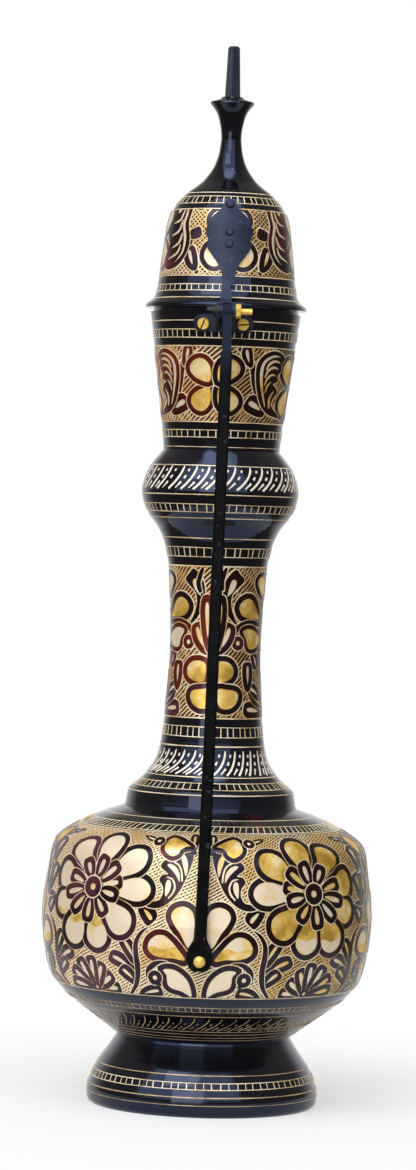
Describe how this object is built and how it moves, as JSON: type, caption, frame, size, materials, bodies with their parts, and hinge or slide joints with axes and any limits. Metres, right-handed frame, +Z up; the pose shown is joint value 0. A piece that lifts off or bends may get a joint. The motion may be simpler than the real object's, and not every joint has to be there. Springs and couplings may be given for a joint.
{
  "type": "surahi",
  "caption": "Tall lidded brass pitcher with a round belly, slim neck, hinged dome lid and bowed bar handle, engraved with flowers and birds under black lacquer.",
  "frame": {"origin": "middle of the foot's flat resting ring, on the turning axis, at ground level", "axes": "+Z up along the turning axis; the handle and the lid's hinge are on the -Y side; the hinge bolt runs along X"},
  "size_m": [0.1308, 0.1356, 0.42],
  "materials": {
    "lacquered_brass": "engraved brass under glossy black lacquer",
    "painted_iron": "satin blue-black paint on wrought iron",
    "bare_brass": "polished bare brass"
  },
  "bodies": {
    "vessel": {"foot": "lacquered_brass", "lower_bowl": "lacquered_brass", "upper_bowl": "lacquered_brass", "shoulder_collar": "lacquered_brass", "neck": "lacquered_brass", "knop": "lacquered_brass", "mouth_cup": "lacquered_brass", "mouth_ring": "lacquered_brass", "hinge_bracket": "painted_iron", "bracket_screws": "bare_brass", "hinge_bolt": "bare_brass", "hinge_nut": "bare_brass", "handle_tongue": "painted_iron", "handle_bar": "painted_iron", "handle_rivet": "bare_brass", "handle_rivet_burr": "bare_brass"},
    "lid": {"lid_dome": "lacquered_brass", "finial": "lacquered_brass", "finial_spike": "lacquered_brass", "finial_stud": "bare_brass", "finial_washer": "bare_brass", "finial_nut": "bare_brass", "lid_strap": "painted_iron", "strap_rivets": "painted_iron", "strap_rivet_burrs": "bare_brass"}
  },
  "joints": [
    {"name": "lid_hinge", "type": "hinge", "parent": "vessel", "child": "lid", "pos_m": [0, -0.0365, 0.3135], "axis": [1, 0, 0], "range_deg": [0, 120]}
  ]
}
